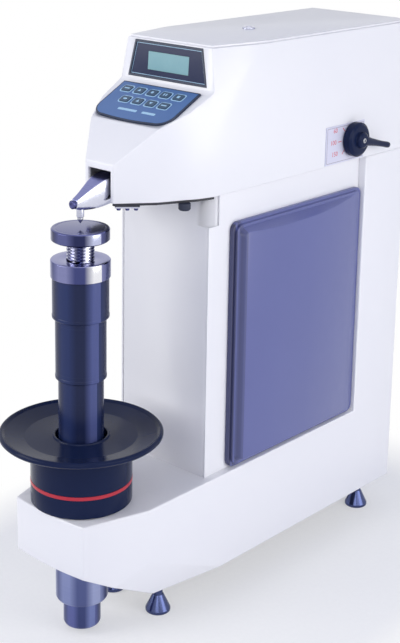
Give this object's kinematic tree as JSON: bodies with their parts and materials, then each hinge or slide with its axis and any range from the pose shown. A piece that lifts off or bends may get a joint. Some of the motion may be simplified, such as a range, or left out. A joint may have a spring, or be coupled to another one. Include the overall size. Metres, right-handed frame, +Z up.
{
  "type": "hardness tester",
  "caption": "Bench hardness tester: C-shaped white frame, console head, dolphin-nose indenter arm, sleeved elevating screw with dished handwheel, side panels and levelling feet.",
  "frame": {"origin": "point on the bench plane under the axis of the elevating screw", "axes": "+Z up along the screw, -Y towards the operator (front), +X to the right seen from the front"},
  "size_m": [0.224, 0.703, 0.789],
  "materials": {
    "white_paint": "smooth semi-gloss white enamel",
    "slate_panel": "slate blue moulded plastic, satin",
    "black_sheet": "black sheet",
    "black_plastic": "black plastic",
    "red_plastic": "red gloss",
    "display_dark": "dark navy, glossy",
    "lcd_green": "green liquid-crystal screen",
    "board_green": "circuit board",
    "keypad_blue": "blue membrane",
    "key_cap": "teal blue keys",
    "index_plate": "pale plate",
    "black_gloss": "black gloss",
    "black_sleeve": "black enamel tube",
    "steel_bright": "polished",
    "steel_satin": "ground",
    "anvil_steel": "hardened, dark ground",
    "guard_steel": "satin turned",
    "foot_steel": "nickel plated",
    "bronze": "bronze",
    "iron_casting": "grey iron",
    "motor_case": "cast case"
  },
  "bodies": {
    "root": {"machine_frame": "white_paint", "rear_cover": "white_paint", "head_cover": "white_paint", "top_lid": "white_paint", "side_plate_right": "white_paint", "side_plate_left": "white_paint", "side_panel_right": "slate_panel", "side_panel_left": "slate_panel", "top_plug": "steel_bright", "under_plate": "black_sheet", "power_inlet": "black_plastic", "switch_frame": "black_plastic", "display_bezel": "display_dark", "display_window": "display_dark", "lcd_module": "lcd_green", "control_board": "board_green", "keypad_panel": "keypad_blue", "dial_plate": "index_plate", "spindle_bush": "bronze", "head_beam": "iron_casting", "fulcrum_pin": "steel_satin", "lift_motor": "motor_case", "depth_sensor": "motor_case", "transformer": "iron_casting", "thrust_bearing": "steel_satin", "guard_tube": "guard_steel"},
    "handwheel": {"handwheel": "black_gloss", "red_ring": "red_plastic", "elevating_nut": "bronze"},
    "screw": {"elevating_screw": "steel_bright", "screw_collar": "steel_bright", "anvil": "anvil_steel", "sleeve_upper": "black_sleeve", "screw_cap": "guard_steel"},
    "sleeve_middle": {"sleeve_middle": "black_sleeve"},
    "sleeve_lower": {"sleeve_lower": "black_sleeve"},
    "arm": {"nose_arm": "steel_bright", "indenter": "steel_bright", "spindle": "steel_satin"},
    "clamp": {"clamp_screw": "steel_satin"},
    "lever": {"main_lever": "steel_satin"},
    "hanger": {"weight_hanger": "steel_satin", "weight_stack": "iron_casting"},
    "cam": {"lift_cam": "steel_satin"},
    "selector": {"selector_knob": "black_gloss", "selector_shaft": "steel_satin"},
    "switch": {"switch_rocker": "red_plastic"},
    "key_1": {"key_1": "key_cap"},
    "key_2": {"key_2": "key_cap"},
    "key_3": {"key_3": "key_cap"},
    "key_4": {"key_4": "key_cap"},
    "key_5": {"key_5": "key_cap"},
    "key_6": {"key_6": "key_cap"},
    "key_7": {"key_7": "key_cap"},
    "key_8": {"key_8": "key_cap"},
    "key_9": {"key_9": "key_cap"},
    "foot_front_left": {"foot_front_left": "foot_steel"},
    "foot_front_right": {"foot_front_right": "foot_steel"},
    "foot_rear_left": {"foot_rear_left": "foot_steel"},
    "foot_rear_right": {"foot_rear_right": "foot_steel"}
  },
  "joints": [
    {"name": "handwheel_turn", "type": "hinge", "parent": "root", "child": "handwheel", "pos_m": [0, 0, 0.253], "axis": [0, 0, 1], "range_deg": [-240, 8700]},
    {"name": "screw_lift", "type": "slide", "parent": "root", "child": "screw", "axis": [0, 0, 1], "range_m": [-0.1452, 0.0042]},
    {"name": "sleeve_middle_slide", "type": "slide", "parent": "root", "child": "sleeve_middle", "axis": [0, 0, 1], "range_m": [-0.1018, 0.003]},
    {"name": "sleeve_lower_slide", "type": "slide", "parent": "root", "child": "sleeve_lower", "axis": [0, 0, 1], "range_m": [-0.0524, 0.0016]},
    {"name": "weights_lift", "type": "slide", "parent": "root", "child": "hanger", "axis": [0, 0, 1], "range_m": [-0.008, 0.016]},
    {"name": "lever_tilt", "type": "hinge", "parent": "root", "child": "lever", "pos_m": [0, 0.1, 0.671], "axis": [1, 0, 0], "range_deg": [-1.2, 2.35]},
    {"name": "arm_slide", "type": "slide", "parent": "root", "child": "arm", "axis": [0, 0, 1], "range_m": [-0.00045, 0.00089]},
    {"name": "clamp_turn", "type": "hinge", "parent": "arm", "child": "clamp", "pos_m": [0, -0.01, 0.596], "axis": [0, -1, 0], "range_deg": [0, 180]},
    {"name": "cam_turn", "type": "hinge", "parent": "root", "child": "cam", "pos_m": [0, 0.3, 0.629], "axis": [1, 0, 0], "continuous": true},
    {"name": "load_select", "type": "hinge", "parent": "root", "child": "selector", "pos_m": [0.092, 0.449, 0.626], "axis": [1, 0, 0], "range_deg": [-45, 45]},
    {"name": "power_rock", "type": "hinge", "parent": "root", "child": "switch", "pos_m": [-0.03, 0.5915, 0.313], "axis": [1, 0, 0], "range_deg": [-10, 10]},
    {"name": "key_1_press", "type": "slide", "parent": "root", "child": "key_1", "axis": [0, 0.4521, -0.892], "range_m": [0, 0.0006], "stiffness_N_per_m": 300, "springref_m": -0.0015},
    {"name": "key_2_press", "type": "slide", "parent": "root", "child": "key_2", "axis": [0, 0.4521, -0.892], "range_m": [0, 0.0006], "stiffness_N_per_m": 300, "springref_m": -0.0015},
    {"name": "key_3_press", "type": "slide", "parent": "root", "child": "key_3", "axis": [0, 0.4521, -0.892], "range_m": [0, 0.0006], "stiffness_N_per_m": 300, "springref_m": -0.0015},
    {"name": "key_4_press", "type": "slide", "parent": "root", "child": "key_4", "axis": [0, 0.4521, -0.892], "range_m": [0, 0.0006], "stiffness_N_per_m": 300, "springref_m": -0.0015},
    {"name": "key_5_press", "type": "slide", "parent": "root", "child": "key_5", "axis": [0, 0.4521, -0.892], "range_m": [0, 0.0006], "stiffness_N_per_m": 300, "springref_m": -0.0015},
    {"name": "key_6_press", "type": "slide", "parent": "root", "child": "key_6", "axis": [0, 0.4521, -0.892], "range_m": [0, 0.0006], "stiffness_N_per_m": 300, "springref_m": -0.0015},
    {"name": "key_7_press", "type": "slide", "parent": "root", "child": "key_7", "axis": [0, 0.4521, -0.892], "range_m": [0, 0.0006], "stiffness_N_per_m": 300, "springref_m": -0.0015},
    {"name": "key_8_press", "type": "slide", "parent": "root", "child": "key_8", "axis": [0, 0.4521, -0.892], "range_m": [0, 0.0006], "stiffness_N_per_m": 300, "springref_m": -0.0015},
    {"name": "key_9_press", "type": "slide", "parent": "root", "child": "key_9", "axis": [0, 0.4521, -0.892], "range_m": [0, 0.0006], "stiffness_N_per_m": 300, "springref_m": -0.0015},
    {"name": "foot_front_left_turn", "type": "hinge", "parent": "root", "child": "foot_front_left", "pos_m": [-0.044, 0.103, 0.04], "axis": [0, 0, 1], "range_deg": [-720, 720]},
    {"name": "foot_front_right_turn", "type": "hinge", "parent": "root", "child": "foot_front_right", "pos_m": [0.044, 0.103, 0.04], "axis": [0, 0, 1], "range_deg": [-720, 720]},
    {"name": "foot_rear_left_turn", "type": "hinge", "parent": "root", "child": "foot_rear_left", "pos_m": [-0.056, 0.556, 0.04], "axis": [0, 0, 1], "range_deg": [-720, 720]},
    {"name": "foot_rear_right_turn", "type": "hinge", "parent": "root", "child": "foot_rear_right", "pos_m": [0.056, 0.556, 0.04], "axis": [0, 0, 1], "range_deg": [-720, 720]}
  ],
  "couplings": [
    {"joint": "screw_lift", "follows": "handwheel_turn", "m_per_rad": -0.00095493},
    {"joint": "sleeve_middle_slide", "follows": "handwheel_turn", "m_per_rad": -0.00066845},
    {"joint": "sleeve_lower_slide", "follows": "handwheel_turn", "m_per_rad": -0.00034377},
    {"joint": "lever_tilt", "follows": "weights_lift", "rad_per_m": 2.5},
    {"joint": "arm_slide", "follows": "weights_lift", "ratio": 0.055}
  ]
}
